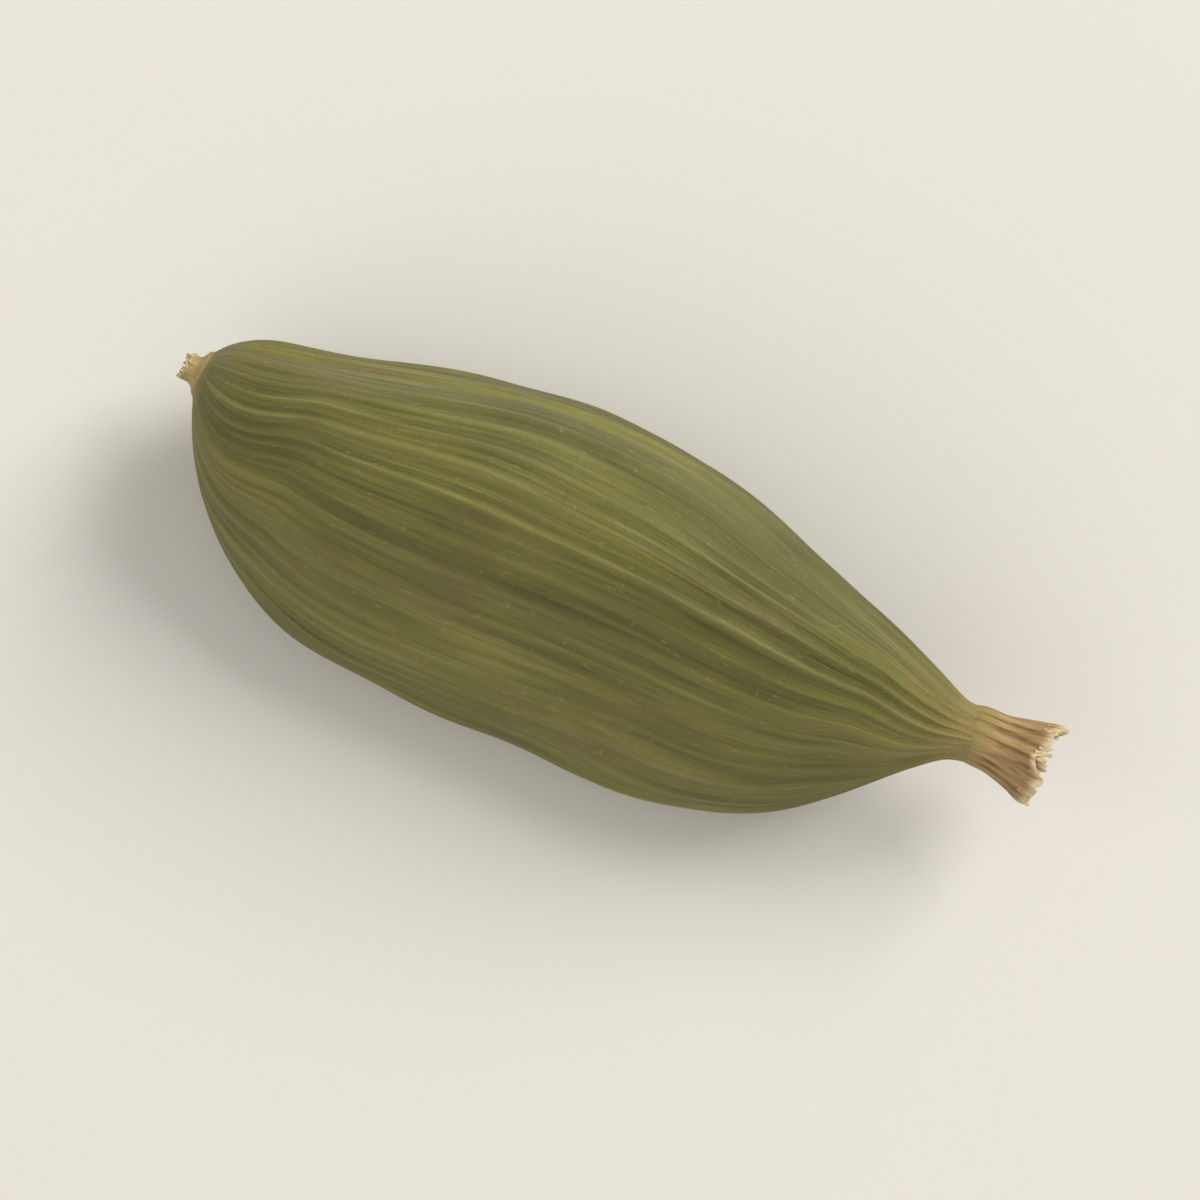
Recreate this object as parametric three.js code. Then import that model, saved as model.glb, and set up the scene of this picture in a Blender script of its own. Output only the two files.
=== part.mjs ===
// A dried green cardamom pod lying on its side, at its real size in millimetres.
//
// The pod is the three-sided seed capsule of the cardamom plant: a leathery green husk with fine
// raised veins from end to end, a blunt base that keeps the stub of its stalk, and a narrow beak
// that carries the dried tube of the flower's calyx. +X runs from the stalk to the calyx, +Z is up,
// and the origin is on the surface that the pod lies on, under the middle of its outline.

import * as THREE from "three";
import { mergeVertices } from "three/addons/utils/BufferGeometryUtils.js";

const { clamp, degToRad, euclideanModulo, lerp, smoothstep } = THREE.MathUtils;
const FULL_TURN = 2 * Math.PI;

// Driving sizes of the capsule
const CAPSULE_LENGTH = 16.9;
const CAPSULE_WIDTH = 6.9; // without the swellings over the seeds
const WIDEST_AT = 0.46; // share of the length, counted from the stalk
const BASE_BLUNTNESS = 2.1; // how long the stalk end stays full
const BASE_ROUNDING = 0.52; // how steeply the stalk end then closes
const TIP_TAPER = 2.65; // how the calyx end draws in to its beak
const BASE_RADIUS = 0.45; // flat seat of the stalk
const BEAK_RADIUS = 0.58; // flat seat of the calyx
const BELLY = 0.68; // how far the middle hangs to the -Y side of the line between its ends
const SHOULDERS = 2.55; // how much further the body hangs out between its middle and its two ends
const BASE_TURN = 6.3; // how late the middle line turns in to the stalk
const BEAK_TURN = 2; // how late it turns in to the beak
const BEAK_RISE = 0.35; // how far the beak turns up
const RESTING_CUT = 0.2; // depth of the small flat spot that the pod lies on

// The three-sided section
const CORNER_PULL = 0.14; // share of the radius by which each corner stands out
const FLATNESS = 0.92; // height of the section against its width
const LEAN = 0.3; // how far the upper corner leans to +Y, for each unit of height

// The relief of the husk
const VEINS = 27; // one on each corner, eight on each side
const VEIN_HEIGHT = 0.09;
const VEIN_SHARPNESS = 1.3;
const SEAM_DEPTH = 0.06; // furrow down the middle of each side, where the inner wall meets the husk
const SEAM_WIDTH = degToRad(7);
const SEED_BULGE = 0.035; // soft swellings over the rows of seeds
const SEEDS_IN_A_ROW = 5;

// How the capsule is divided into facets
const SIDES = 4 * VEINS;
const RINGS = 40;

// The stalk stub and the calyx tube
const SEAT_DEPTH = 0.25;
const STALK_SEAT = 0.24; // radius of the pit that holds the stub's root
const CALYX_SEAT = 0.42;
const GAP = 0.03; // keeps the two ends just clear of the capsule
const STALK_LENGTH = 0.35;
const STALK_RADIUS = 0.27;
const STALK_SLANT = 0.18; // slope of the torn end
const STALK_SIDES = 28;
const CALYX_LENGTH = 1.3;
const CALYX_RADIUS = 0.84;
const CALYX_WALL = 0.32;
const CALYX_SIDES = 36;
const CALYX_TILT = 0.18; // how far the tube leans up over its length

// A ring for each [along, radius] of the profile, round the X axis. The profile starts and ends on
// the axis, and shape moves each of its corners from the plain round form to the real one.
function turned(profile, sides, shape) {
  const points = profile.map(([along, radius]) => new THREE.Vector2(radius, along));
  const lathe = new THREE.LatheGeometry(points, sides);
  lathe.deleteAttribute("normal");
  lathe.deleteAttribute("uv");
  lathe.rotateZ(-Math.PI / 2);
  const geometry = mergeVertices(lathe, 1e-4);
  const position = geometry.attributes.position;
  const corner = new THREE.Vector3();
  for (let i = 0; i < position.count; i += 1) {
    corner.fromBufferAttribute(position, i);
    const radius = Math.hypot(corner.y, corner.z);
    const angle = Math.atan2(corner.z, corner.y);
    corner.copy(shape(corner.x, radius, angle));
    position.setXYZ(i, corner.x, corner.y, corner.z);
  }
  geometry.computeVertexNormals();
  return geometry;
}

// Half the capsule's width at a share of its length.
function halfWidth(share) {
  const widest = CAPSULE_WIDTH / 2 - VEIN_HEIGHT;
  if (share < WIDEST_AT) {
    const toBase = 1 - share / WIDEST_AT;
    const body = widest * (1 - toBase ** BASE_BLUNTNESS) ** BASE_ROUNDING;
    return (body ** 4 + BASE_RADIUS ** 4) ** 0.25;
  }
  const toTip = (share - WIDEST_AT) / (1 - WIDEST_AT);
  const body = widest * (1 - toTip ** TIP_TAPER);
  return (body ** 4 + BEAK_RADIUS ** 4) ** 0.25;
}

// A circle drawn out into three soft corners, one of them up, and leaning to +Y.
function corneredSection(angle) {
  const across = Math.cos(angle) - CORNER_PULL * Math.sin(2 * angle);
  const up = FLATNESS * (Math.sin(angle) - CORNER_PULL * Math.cos(2 * angle));
  return new THREE.Vector2(across + LEAN * up, up);
}

// The same section, moved and scaled so that it reaches from -1 to 1 across.
const sectionPoints = Array.from({ length: 360 }, (_, i) => corneredSection(degToRad(i)));
const sectionBox = new THREE.Box2().setFromPoints(sectionPoints);
const sectionScale = 2 / (sectionBox.max.x - sectionBox.min.x);
const sectionMiddle = (sectionBox.max.x + sectionBox.min.x) / 2;
function section(angle) {
  const point = corneredSection(angle);
  point.x -= sectionMiddle;
  return point.multiplyScalar(sectionScale);
}

// Where the middle of each ring stands: the body hangs to one side, and the beak turns up.
const axisHeight = (-sectionBox.min.y * sectionScale * CAPSULE_WIDTH) / 2 - RESTING_CUT;
function axisAt(share) {
  const toEnds = Math.abs(2 * share - 1);
  const turn = lerp(BASE_TURN, BEAK_TURN, share);
  const shoulder = 1 + SHOULDERS * toEnds ** 2 * (1 - toEnds ** 2);
  const side = -BELLY * (1 - toEnds ** turn) * shoulder;
  const rise = BEAK_RISE * smoothstep(share, 0.65, 1);
  return new THREE.Vector2(side, axisHeight + rise);
}

// How far the husk stands out from the smooth form, at an angle and a share of the length. Veins
// are strongest on the three corners, and no two neighbours are alike.
function relief(angle, share) {
  const fromRidge = angle - Math.PI / 2;
  const toEnds = smoothstep(share, 0, 0.07) * (1 - smoothstep(share, 0.93, 1));
  const ridge = (1 - Math.abs(Math.sin((VEINS * fromRidge) / 2))) ** VEIN_SHARPNESS;
  const vein = euclideanModulo(Math.round((VEINS * fromRidge) / FULL_TURN), VEINS);
  const uneven = 0.2 * Math.sin(2.4 * vein) + 0.18 * Math.sin(5 * angle + 7 * share);
  const strength = 0.68 + 0.26 * Math.cos(3 * fromRidge) + uneven;
  const fromSeam = Math.asin(Math.cos(1.5 * fromRidge)) / 1.5;
  const seam = Math.exp(-((fromSeam / SEAM_WIDTH) ** 2));
  const seeds = Math.sin(FULL_TURN * SEEDS_IN_A_ROW * share + 2 * angle) * Math.cos(1.5 * fromRidge) ** 2;
  return toEnds * (VEIN_HEIGHT * ridge * strength - SEAM_DEPTH * seam + SEED_BULGE * seeds);
}

// The veins don't run quite straight: each place on the husk is turned a little about the axis.
function wander(angle, share) {
  const slow = 0.05 * Math.sin(8 * share + 2 * angle);
  const quick = 0.01 * Math.sin(13 * share + 5 * angle);
  return (slow + quick) * Math.sin(Math.PI * share);
}

function capsulePoint(along, radius, angle) {
  const share = clamp(along / CAPSULE_LENGTH, 0, 1);
  if (radius < Math.min(BASE_RADIUS, BEAK_RADIUS)) {
    return seatPoint(along, radius, angle, Math.round(share));
  }
  const cornered = smoothstep(share, 0, 0.16) * (1 - smoothstep(share, 0.84, 1));
  const turnedTo = angle + wander(angle, share);
  const corner = section(turnedTo);
  const y = lerp(Math.cos(turnedTo), corner.x, cornered);
  const z = lerp(Math.sin(turnedTo), corner.y, cornered);
  const reach = radius + relief(angle, share);
  const axis = axisAt(share);
  return new THREE.Vector3(along, axis.x + reach * y, Math.max(axis.y + reach * z, 0));
}

// A corner of a round form that stands straight on the stalk end, 0, or on the calyx end, 1.
function seatPoint(along, radius, angle, end) {
  const axis = axisAt(end);
  return new THREE.Vector3(along, axis.x + radius * Math.cos(angle), axis.y + radius * Math.sin(angle));
}

function capsule() {
  const husk = Array.from({ length: RINGS + 1 }, (_, i) => {
    const share = (1 - Math.cos((Math.PI * i) / RINGS)) / 2;
    return [share * CAPSULE_LENGTH, halfWidth(share)];
  });
  const profile = [
    [SEAT_DEPTH, 0],
    [SEAT_DEPTH, STALK_SEAT],
    [0, STALK_SEAT],
    ...husk,
    [CAPSULE_LENGTH, CALYX_SEAT],
    [CAPSULE_LENGTH - SEAT_DEPTH, CALYX_SEAT],
    [CAPSULE_LENGTH - SEAT_DEPTH, 0],
  ];
  return turned(profile, SIDES, capsulePoint);
}

// The stub's root stands in the seat at the capsule's base. Its foot spreads over the seat, and its
// torn end is slanted, grooved and a little hollow.
function stalkStub() {
  const root = STALK_SEAT - GAP;
  const profile = [
    [-0.82 * STALK_LENGTH, 0],
    [-0.88 * STALK_LENGTH, 0.5 * STALK_RADIUS],
    [-STALK_LENGTH, 0.82 * STALK_RADIUS],
    [-0.95 * STALK_LENGTH, STALK_RADIUS],
    [-0.72 * STALK_LENGTH, 0.94 * STALK_RADIUS],
    [-0.45 * STALK_LENGTH, STALK_RADIUS],
    [-0.25 * STALK_LENGTH, 0.8 * BASE_RADIUS],
    [-GAP, 0.92 * BASE_RADIUS],
    [-GAP, root],
    [SEAT_DEPTH - GAP, root],
    [SEAT_DEPTH - GAP, 0],
  ];
  return turned(profile, STALK_SIDES, (along, radius, angle) => {
    const toCut = smoothstep(-along, GAP, STALK_LENGTH);
    const grooves = 0.07 * Math.sin(3 * angle + 1) + 0.05 * Math.sin(7 * angle);
    const point = seatPoint(along, radius * (1 + grooves * toCut), angle, 0);
    point.x += STALK_SLANT * toCut * (point.y - axisAt(0).x);
    return point;
  });
}

// The calyx is an open papery cup: a root in the seat at the beak, a wall that flares to a torn
// rim, and a bore that ends in a floor just above the root.
function calyxTube() {
  const root = CALYX_SEAT - GAP;
  const bore = CALYX_RADIUS - CALYX_WALL;
  const profile = [
    [GAP - SEAT_DEPTH, 0],
    [GAP - SEAT_DEPTH, root],
    [GAP, root],
    [GAP, 0.95 * BEAK_RADIUS],
    [0.25 * CALYX_LENGTH, BEAK_RADIUS],
    [0.55 * CALYX_LENGTH, 0.82 * CALYX_RADIUS],
    [0.8 * CALYX_LENGTH, 0.92 * CALYX_RADIUS],
    [0.97 * CALYX_LENGTH, CALYX_RADIUS],
    [CALYX_LENGTH, CALYX_RADIUS - 0.4 * CALYX_WALL],
    [0.97 * CALYX_LENGTH, bore],
    [0.7 * CALYX_LENGTH, 0.8 * bore],
    [0.42 * CALYX_LENGTH, 0.62 * bore],
    [0.38 * CALYX_LENGTH, 0],
  ];
  return turned(profile, CALYX_SIDES, (along, radius, angle) => {
    const toRim = smoothstep(along, 0.3 * CALYX_LENGTH, CALYX_LENGTH);
    const torn = 0.12 * Math.sin(3 * angle + 0.6) + 0.07 * Math.sin(7 * angle);
    const ribbed = radius * (1 + 0.035 * toRim * Math.sin(9 * angle));
    const point = seatPoint(along + torn * toRim ** 3, ribbed, angle, 1);
    point.z += CALYX_TILT * toRim;
    return point;
  });
}

function part(name, geometry, color, roughness) {
  const material = new THREE.MeshStandardMaterial({ color, roughness, metalness: 0 });
  const mesh = new THREE.Mesh(geometry, material);
  mesh.name = name;
  return mesh;
}

const pod = new THREE.Group();
const seedCapsule = part("seed_capsule", capsule(), 0x7b7a42, 0.55);
const stub = part("stalk_stub", stalkStub(), 0xb59f74, 0.8);
const calyx = part("calyx_tube", calyxTube(), 0xb08f66, 0.75);
calyx.position.x = CAPSULE_LENGTH;
pod.add(seedCapsule, stub, calyx);

// The origin goes under the middle of the outline, on the surface that the pod lies on.
const outline = new THREE.Box3().setFromObject(pod, true);
const middle = outline.getCenter(new THREE.Vector3());
pod.position.set(-middle.x, -middle.y, -outline.min.z);

export default pod;
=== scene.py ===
# %% [markdown]
# # A dried green cardamom pod
#
# The pod is the fruit of a ginger relative: a three-sided capsule that dries to a leathery green husk
# with raised veins from end to end. One end keeps the stub of its stalk. The other is a beak that
# carries the dried tube of the flower's calyx. This scene takes the plain solids of those three
# pieces and makes their fine surfaces: veins, wrinkles, fibres, torn ends and colour.

import math

import bpy
import numpy as np
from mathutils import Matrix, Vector


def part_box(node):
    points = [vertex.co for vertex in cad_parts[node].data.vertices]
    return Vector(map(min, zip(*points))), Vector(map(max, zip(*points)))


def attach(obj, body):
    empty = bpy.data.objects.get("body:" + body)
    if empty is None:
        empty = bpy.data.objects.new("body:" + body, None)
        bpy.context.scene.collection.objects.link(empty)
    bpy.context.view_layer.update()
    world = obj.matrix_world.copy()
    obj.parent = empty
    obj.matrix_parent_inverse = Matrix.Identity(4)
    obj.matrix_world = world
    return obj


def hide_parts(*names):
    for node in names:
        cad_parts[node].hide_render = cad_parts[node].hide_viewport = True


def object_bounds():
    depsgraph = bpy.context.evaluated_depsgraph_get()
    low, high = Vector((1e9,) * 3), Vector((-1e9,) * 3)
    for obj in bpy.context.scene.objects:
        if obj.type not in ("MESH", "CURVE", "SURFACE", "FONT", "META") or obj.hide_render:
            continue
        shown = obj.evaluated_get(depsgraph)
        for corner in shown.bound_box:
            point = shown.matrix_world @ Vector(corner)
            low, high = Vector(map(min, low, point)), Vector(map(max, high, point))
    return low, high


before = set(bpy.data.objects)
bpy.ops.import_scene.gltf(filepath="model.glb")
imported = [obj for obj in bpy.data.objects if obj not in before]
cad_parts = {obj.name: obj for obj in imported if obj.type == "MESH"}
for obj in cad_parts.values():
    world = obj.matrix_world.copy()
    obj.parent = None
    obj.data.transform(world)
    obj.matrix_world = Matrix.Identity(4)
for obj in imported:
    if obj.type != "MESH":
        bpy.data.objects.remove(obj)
cad_box = [list(corner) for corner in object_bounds()]
print("solids:", sorted(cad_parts))
print("box in mm:", [[round(1000 * x, 2) for x in corner] for corner in cad_box])

# %% [markdown]
# ## Three small helpers
#
# A node tree is a recipe of boxes joined by wires. Every tree here is built with one function, which
# adds a node, sets its properties and fills its inputs. An input takes a plain value or the output
# of another node. A range node's inputs come in the order value, from, until, and what it gives at
# each of those two. Another function starts a Geometry Nodes tree with named inputs.
#
# Colours are written the way a colour picker shows them, as sRGB hex, but a renderer works with
# linear light, so the third function turns the first into the second.

# %% Add a node, start a tree and read a colour
MM = 0.001
MATH = "ShaderNodeMath"
RANGE = "ShaderNodeMapRange"
MIX = "ShaderNodeMix"
NOISE = "ShaderNodeTexNoise"


def first_output(feed):
    """A node stands for its first output that is in use. Anything else is left as it is."""
    if isinstance(feed, bpy.types.Node):
        return next(socket for socket in feed.outputs if socket.enabled)
    return feed


def add(tree, kind, feeds=(), **settings):
    """Adds a node. settings are its properties, and feeds fills its inputs by name or in order."""
    node = tree.nodes.new(kind)
    for name, value in settings.items():
        setattr(node, name, value)
    in_use = [socket for socket in node.inputs if socket.enabled]
    by_name = {socket.name: socket for socket in reversed(in_use)}
    if isinstance(feeds, dict):
        pairs = [(by_name[name], feed) for name, feed in feeds.items()]
    else:
        pairs = zip(in_use, feeds)
    for socket, feed in pairs:
        feed = first_output(feed)
        if isinstance(feed, bpy.types.NodeSocket):
            tree.links.new(feed, socket)
        else:
            socket.default_value = feed
    return node


def start_tree(name, inputs, result):
    """A Geometry Nodes tree with named inputs and one result, and the sockets its inputs come from."""
    tree = bpy.data.node_groups.new(name, "GeometryNodeTree")
    for label, kind in inputs.items():
        tree.interface.new_socket(label, in_out="INPUT", socket_type="NodeSocket" + kind)
    tree.interface.new_socket(result, in_out="OUTPUT", socket_type="NodeSocketGeometry")
    return tree, add(tree, "NodeGroupInput").outputs


def colour(hex_code):
    """An sRGB hex colour as linear red, green, blue and alpha."""
    parts = [int(hex_code[i : i + 2], 16) / 255 for i in (1, 3, 5)]
    linear = [c / 12.92 if c <= 0.04045 else ((c + 0.055) / 1.055) ** 2.4 for c in parts]
    return (*linear, 1.0)


print("an olive green, in linear light:", [round(c, 3) for c in colour("#7c7a41")])

# %% [markdown]
# ## Where the pod's two ends are
#
# Everything fine is built on the solids, so the places come from their boxes. The stub's box gives
# the middle of the stalk end, and the capsule's box gives where the husk starts and stops. The beak
# turns up a little, so its middle stands higher than the stalk's.

# %% Measure the ends
capsule_low, capsule_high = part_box("seed_capsule")
stub_low, stub_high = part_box("stalk_stub")

BASE = Vector((capsule_low.x, (stub_low.y + stub_high.y) / 2, (stub_low.z + stub_high.z) / 2))
BEAK_RISE = 0.35 * MM
LENGTH = capsule_high.x - capsule_low.x
BEAK = BASE + Vector((LENGTH, 0, BEAK_RISE))
print("capsule length", round(LENGTH / MM, 2), "mm, stalk end at", [round(x / MM, 2) for x in BASE])

# %% [markdown]
# ## The husk as a rule
#
# The husk is one closed skin. It could be sculpted, but its shape follows a rule, and a rule keeps
# the skin on its solid and brings every vein to both ends. So Geometry Nodes make it. The tree starts
# from a fine upright cylinder and moves every one of its points. A point knows two things about
# itself: its share of the way from stalk to beak, and its angle round the pod. All else is worked
# out from those two. The sizes of the main form are the ones that the solid was made with.

# %% Sizes of the husk
WIDEST = 3.36 * MM  # half the width, without the veins
WIDEST_AT = 0.46
BASE_BLUNTNESS = 2.1
BASE_ROUNDING = 0.52
TIP_TAPER = 2.65
BASE_RADIUS = 0.45 * MM
BEAK_RADIUS = 0.58 * MM
BELLY = 0.68 * MM
SHOULDERS = 2.55
BASE_TURN = 6.3
BEAK_TURN = 2
BEAK_RISES_FROM = 0.65
CORNER_PULL = 0.14
FLATNESS = 0.92
LEAN = 0.3
ROUND_ENDS = 0.16  # the share of the length over which each end goes round
BARE_ENDS = 0.07  # the share of the length over which the veins sink in at each end
VEINS = 27
VEIN_HEIGHT = 0.09 * MM
VEIN_SHARPNESS = 1.3
SEAM_DEPTH = 0.06 * MM
SEAM_WIDTH = math.radians(7)
SEED_BULGE = 0.035 * MM
SEEDS_IN_A_ROW = 5
SIDES = 16 * VEINS
RINGS = 222
print("veins", round(2 * math.pi * WIDEST / VEINS / MM, 2), "mm apart at the widest ring")

# %% Start the husk's tree
husk_inputs = {
    "Length": "Float",
    "Half Width": "Float",
    "Veins": "Float",
    "Vein Height": "Float",
    "Wrinkle Depth": "Float",
    "Crease Depth": "Float",
    "Fibre Height": "Float",
    "Seed": "Float",
    "Material": "Material",
}
husk, given = start_tree("Husk", husk_inputs, "Husk")

blank = add(
    husk,
    "GeometryNodeMeshCylinder",
    {"Vertices": SIDES, "Side Segments": RINGS, "Radius": 1.0, "Depth": 1.0},
    fill_type="TRIANGLE_FAN",
)
spot = add(husk, "ShaderNodeSeparateXYZ", (add(husk, "GeometryNodeInputPosition"),)).outputs
angle = add(husk, MATH, (spot["Y"], spot["X"]), operation="ARCTAN2")
print("the blank has", SIDES, "sides and", RINGS, "rings")

# %% [markdown]
# The rings stand closer together near both ends, where the husk turns in sharply. A smooth step from
# 0 to 1 does that, because it starts and stops slowly. It is taken a little wider than the blank, so
# that the first rings aren't squeezed to nothing. One more value is 1 on the blank's wall and 0 at
# the middle of its two ends. It closes the husk there.

# %% Share of the length
EASE = 0.54  # the blank itself reaches 0.5 each way
eased = add(husk, RANGE, (spot["Z"], -EASE, EASE, 0, 1), interpolation_type="SMOOTHSTEP")
cut_off = (EASE - 0.5) / (2 * EASE)
first_ring = cut_off**2 * (3 - 2 * cut_off)
share = add(husk, RANGE, (eased, first_ring, 1 - first_ring, 0, 1))
along = add(husk, MATH, (share, given["Length"]), operation="MULTIPLY")
on_wall = add(husk, MATH, (spot["X"], spot["X"]), operation="MULTIPLY")
on_wall = add(husk, MATH, (spot["Y"], spot["Y"], on_wall), operation="MULTIPLY_ADD")
print("the smooth step leaves out", round(first_ring, 4), "at each end")

# %% [markdown]
# ### How thick the pod is along its length
#
# The stalk end is blunt and the beak end draws in like a drop. Each is a power of the distance from
# the widest ring, and their product is the half width. A fourth-power sum then lets the two ends run
# into the small round seats of the stalk and the calyx without a corner.

# %% Half width
to_base = add(husk, RANGE, (share, 0, WIDEST_AT, 1, 0))
to_tip = add(husk, RANGE, (share, WIDEST_AT, 1, 0, 1))
blunt = add(husk, MATH, (to_base, BASE_BLUNTNESS), operation="POWER")
blunt = add(husk, MATH, (1, blunt), operation="SUBTRACT")
blunt = add(husk, MATH, (blunt, BASE_ROUNDING), operation="POWER")
taper = add(husk, MATH, (to_tip, TIP_TAPER), operation="POWER")
taper = add(husk, MATH, (1, taper), operation="SUBTRACT")
body = add(husk, MATH, (blunt, taper), operation="MULTIPLY")
body = add(husk, MATH, (body, given["Half Width"]), operation="MULTIPLY")
seat = add(husk, RANGE, (share, 0, 1, BASE_RADIUS, BEAK_RADIUS))
body_4 = add(husk, MATH, (body, 4), operation="POWER")
seat_4 = add(husk, MATH, (seat, 4), operation="POWER")
half_width = add(husk, MATH, (body_4, seat_4), operation="ADD")
half_width = add(husk, MATH, (half_width, 0.25), operation="POWER")
print("the widest ring is", round(WIDEST_AT * LENGTH / MM, 1), "mm from the stalk end")

# %% [markdown]
# ### The middle line
#
# A real pod is never straight. This one hangs to one side of the line between its ends, a little
# further out at its two shoulders than in the middle, and its beak turns up.

# %% Middle line
to_ends = add(husk, MATH, (share, 2, -1), operation="MULTIPLY_ADD")
to_ends = add(husk, MATH, (to_ends,), operation="ABSOLUTE")
turn = add(husk, RANGE, (share, 0, 1, BASE_TURN, BEAK_TURN))
hang = add(husk, MATH, (to_ends, turn), operation="POWER")
hang = add(husk, MATH, (1, hang), operation="SUBTRACT")
squared = add(husk, MATH, (to_ends, to_ends), operation="MULTIPLY")
shoulders = add(husk, MATH, (1, squared), operation="SUBTRACT")
shoulders = add(husk, MATH, (squared, shoulders), operation="MULTIPLY")
shoulders = add(husk, MATH, (shoulders, SHOULDERS, 1), operation="MULTIPLY_ADD")
hang = add(husk, MATH, (hang, shoulders), operation="MULTIPLY")
middle_y = add(husk, MATH, (hang, -BELLY, BASE.y), operation="MULTIPLY_ADD")
middle_z = add(
    husk,
    RANGE,
    (share, BEAK_RISES_FROM, 1, BASE.z, BEAK.z),
    interpolation_type="SMOOTHSTEP",
)
print("the middle hangs", round(BELLY / MM, 2), "mm out, and the beak rises", BEAK_RISE / MM, "mm")

# %% [markdown]
# ### The three-sided section
#
# Cut across, the pod is a rounded triangle with one corner up. A circle becomes one when each point
# is pulled by a second wave that goes round twice: that draws out three soft corners. The section
# then leans, and is moved and scaled so that it reaches from -1 to 1 across. At both ends it fades
# back to a circle, because the stalk and the calyx are round. Two slow waves turn each point a little
# to and fro along the pod, so that neither corners nor veins run ruler straight.


# %% Section
def cornered_section(angles):
    """The leaning rounded triangle, across and up, at each angle."""
    up = FLATNESS * (np.sin(angles) - CORNER_PULL * np.cos(2 * angles))
    across = np.cos(angles) - CORNER_PULL * np.sin(2 * angles) + LEAN * up
    return across, up


across_all, _ = cornered_section(np.radians(np.arange(360)))
SECTION_SCALE = 2 / np.ptp(across_all)
SECTION_MIDDLE = (across_all.max() + across_all.min()) / 2
print("the section is scaled by", round(float(SECTION_SCALE), 3))

# %% Let the lines of points wander
SLOW_WANDER = 0.05  # radians
QUICK_WANDER = 0.01
slow = add(husk, MATH, (angle, 2), operation="MULTIPLY")
slow = add(husk, MATH, (share, 8, slow), operation="MULTIPLY_ADD")
slow = add(husk, MATH, (slow,), operation="SINE")
quick = add(husk, MATH, (angle, 5), operation="MULTIPLY")
quick = add(husk, MATH, (share, 13, quick), operation="MULTIPLY_ADD")
quick = add(husk, MATH, (quick,), operation="SINE")
wander = add(husk, MATH, (slow, SLOW_WANDER), operation="MULTIPLY")
wander = add(husk, MATH, (quick, QUICK_WANDER, wander), operation="MULTIPLY_ADD")
inner = add(husk, MATH, (share, math.pi), operation="MULTIPLY")
inner = add(husk, MATH, (inner,), operation="SINE")
turned = add(husk, MATH, (wander, inner, angle), operation="MULTIPLY_ADD")
print("a vein wanders by up to", round(SLOW_WANDER * WIDEST / MM, 2), "mm to each side")

# %% Draw the section
cosine = add(husk, MATH, (turned,), operation="COSINE")
sine = add(husk, MATH, (turned,), operation="SINE")
twice = add(husk, MATH, (turned, 2), operation="MULTIPLY")
cosine_2 = add(husk, MATH, (twice,), operation="COSINE")
sine_2 = add(husk, MATH, (twice,), operation="SINE")
up = add(husk, MATH, (cosine_2, -CORNER_PULL, sine), operation="MULTIPLY_ADD")
up = add(husk, MATH, (up, FLATNESS), operation="MULTIPLY")
across = add(husk, MATH, (sine_2, -CORNER_PULL, cosine), operation="MULTIPLY_ADD")
across = add(husk, MATH, (up, LEAN, across), operation="MULTIPLY_ADD")
across = add(husk, MATH, (across, -SECTION_MIDDLE), operation="ADD")
across = add(husk, MATH, (across, SECTION_SCALE), operation="MULTIPLY")
up = add(husk, MATH, (up, SECTION_SCALE), operation="MULTIPLY")

from_base = add(husk, RANGE, (share, 0, ROUND_ENDS, 0, 1), interpolation_type="SMOOTHSTEP")
from_beak = add(husk, RANGE, (share, 1 - ROUND_ENDS, 1, 1, 0), interpolation_type="SMOOTHSTEP")
cornered = add(husk, MATH, (from_base, from_beak), operation="MULTIPLY")
unit_y = add(husk, MIX, (cornered, cosine, across))
unit_z = add(husk, MIX, (cornered, sine, up))
print("it is fully three-sided from", ROUND_ENDS, "to", 1 - ROUND_ENDS, "of the length")

# %% [markdown]
# ### Veins
#
# The veins are the husk's woody strands. They stand up as narrow ridges with soft valleys between,
# strongest on the three corners, and no two neighbours are alike. Each one keeps its own strength
# along its length, so the strength comes from the vein's number and not from a noise.

# %% Raise the veins
MEAN_STRENGTH = 0.68
CORNER_STRENGTH = 0.26
OWN_STRENGTH = 0.2
DRIFT_STRENGTH = 0.18
from_ridge = add(husk, MATH, (angle, -math.pi / 2), operation="ADD")
count = add(husk, MATH, (from_ridge, given["Veins"]), operation="MULTIPLY")
wave = add(husk, MATH, (count, 0.5), operation="MULTIPLY")
wave = add(husk, MATH, (wave,), operation="SINE")
wave = add(husk, MATH, (wave,), operation="ABSOLUTE")
ridge = add(husk, MATH, (1, wave), operation="SUBTRACT")
ridge = add(husk, MATH, (ridge, VEIN_SHARPNESS), operation="POWER")

number = add(husk, MATH, (count, 1 / (2 * math.pi)), operation="MULTIPLY")
number = add(husk, MATH, (number,), operation="ROUND")
number = add(husk, MATH, (number, given["Veins"]), operation="FLOORED_MODULO")
own = add(husk, MATH, (number, 2.4), operation="MULTIPLY")
own = add(husk, MATH, (own,), operation="SINE")
drift = add(husk, MATH, (angle, 5), operation="MULTIPLY")
drift = add(husk, MATH, (share, 7, drift), operation="MULTIPLY_ADD")
drift = add(husk, MATH, (drift,), operation="SINE")
corner = add(husk, MATH, (from_ridge, 3), operation="MULTIPLY")
corner = add(husk, MATH, (corner,), operation="COSINE")
strength = add(husk, MATH, (corner, CORNER_STRENGTH, MEAN_STRENGTH), operation="MULTIPLY_ADD")
strength = add(husk, MATH, (own, OWN_STRENGTH, strength), operation="MULTIPLY_ADD")
strength = add(husk, MATH, (drift, DRIFT_STRENGTH, strength), operation="MULTIPLY_ADD")
vein = add(husk, MATH, (ridge, strength), operation="MULTIPLY")
raised = add(husk, MATH, (vein, given["Vein Height"]), operation="MULTIPLY")
print(VEINS, "veins, on the whole", round(MEAN_STRENGTH * VEIN_HEIGHT / MM, 3), "mm high")

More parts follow.
